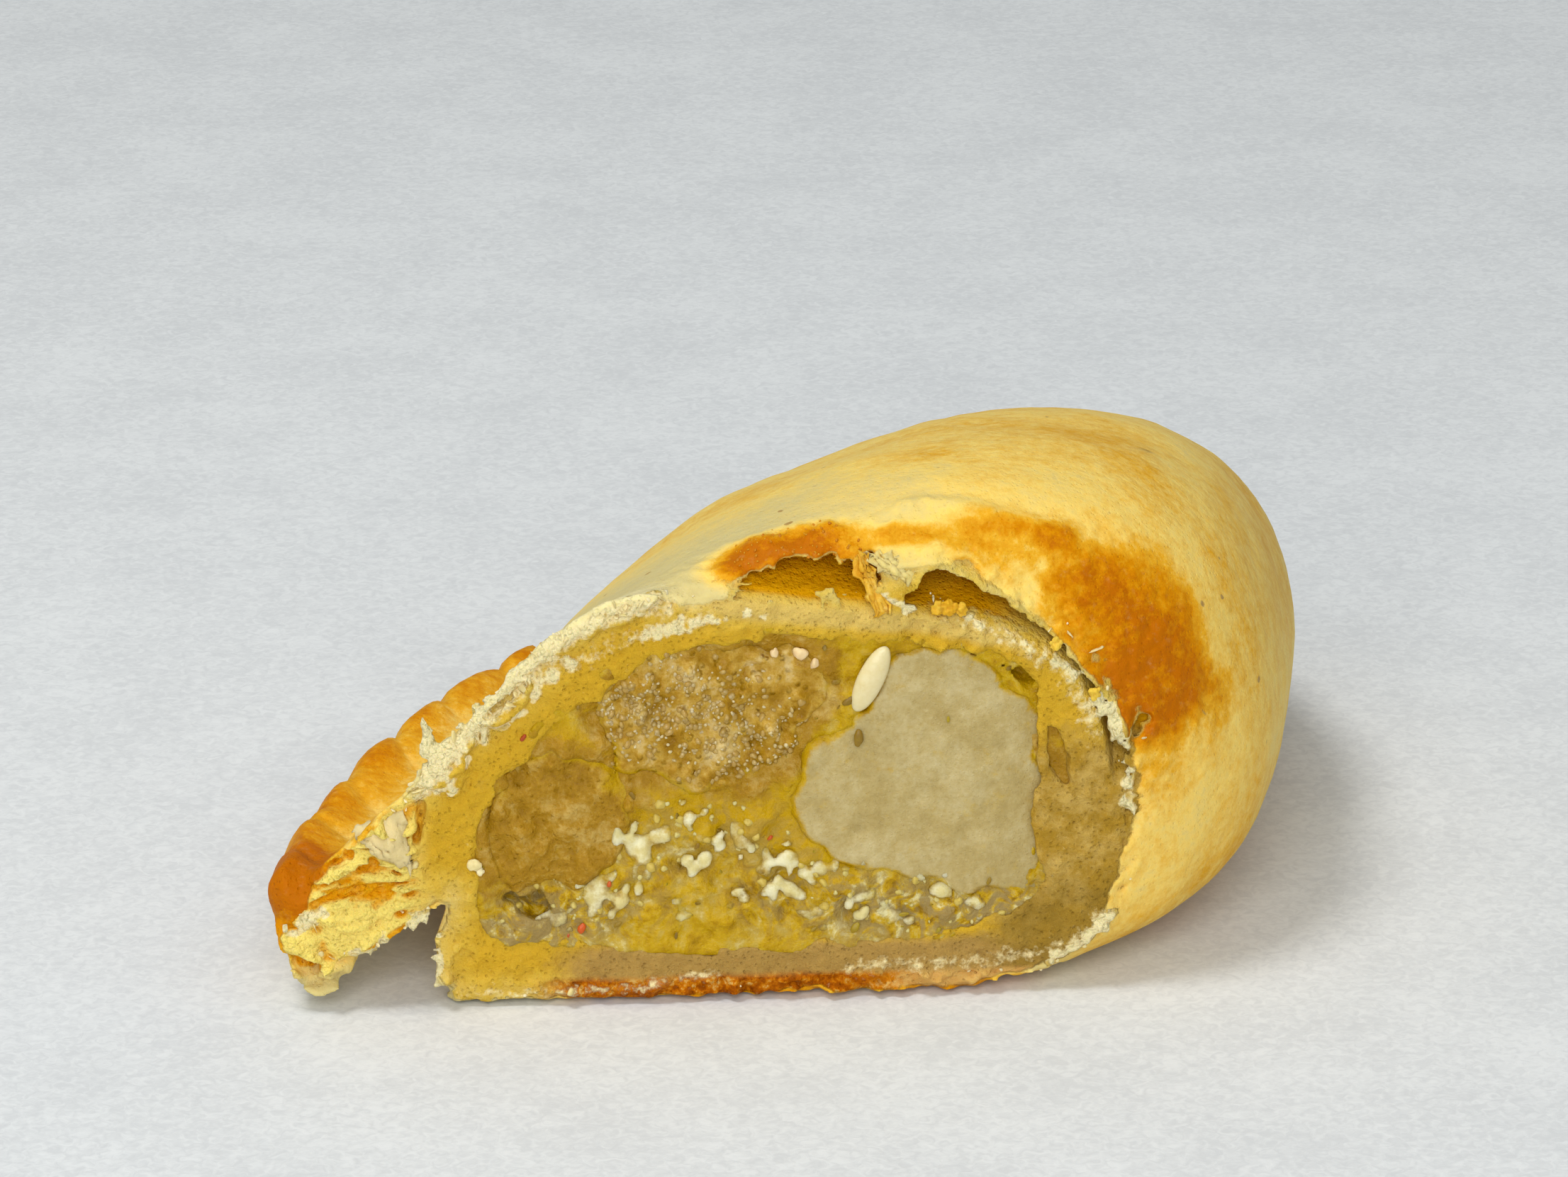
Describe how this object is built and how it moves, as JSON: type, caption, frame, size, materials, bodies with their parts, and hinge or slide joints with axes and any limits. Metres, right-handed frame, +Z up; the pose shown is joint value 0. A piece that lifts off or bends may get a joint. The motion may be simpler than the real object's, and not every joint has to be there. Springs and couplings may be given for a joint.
{
  "type": "empanada half",
  "caption": "Half of a baked half-moon empanada with a crimped rim, cut across to show its pastry shell, blister, herb and cheese paste and potato cubes, resting on its flat base.",
  "frame": {"origin": "under the middle of the half's bounding box, on the surface it rests on", "axes": "+Z up; the cut face looks towards -Y; +X is the folded side and -X the crimped rim; the tip is at +Y"},
  "size_m": [0.0826, 0.0736, 0.0384],
  "materials": {
    "pastry": "baked wheat dough: smooth matt pale cream skin, golden to brown on the crimp, the blister and the base, crumbly where cut",
    "herb_paste": "moist yellow-green cooked paste with herb flecks and white cheese crumbs",
    "potato": "boiled potato, pale and grainy, slightly moist and translucent"
  },
  "bodies": {
    "root": {"crust": "pastry", "filling": "herb_paste", "potato_right": "potato", "potato_top": "potato", "potato_left": "potato"}
  },
  "joints": []
}
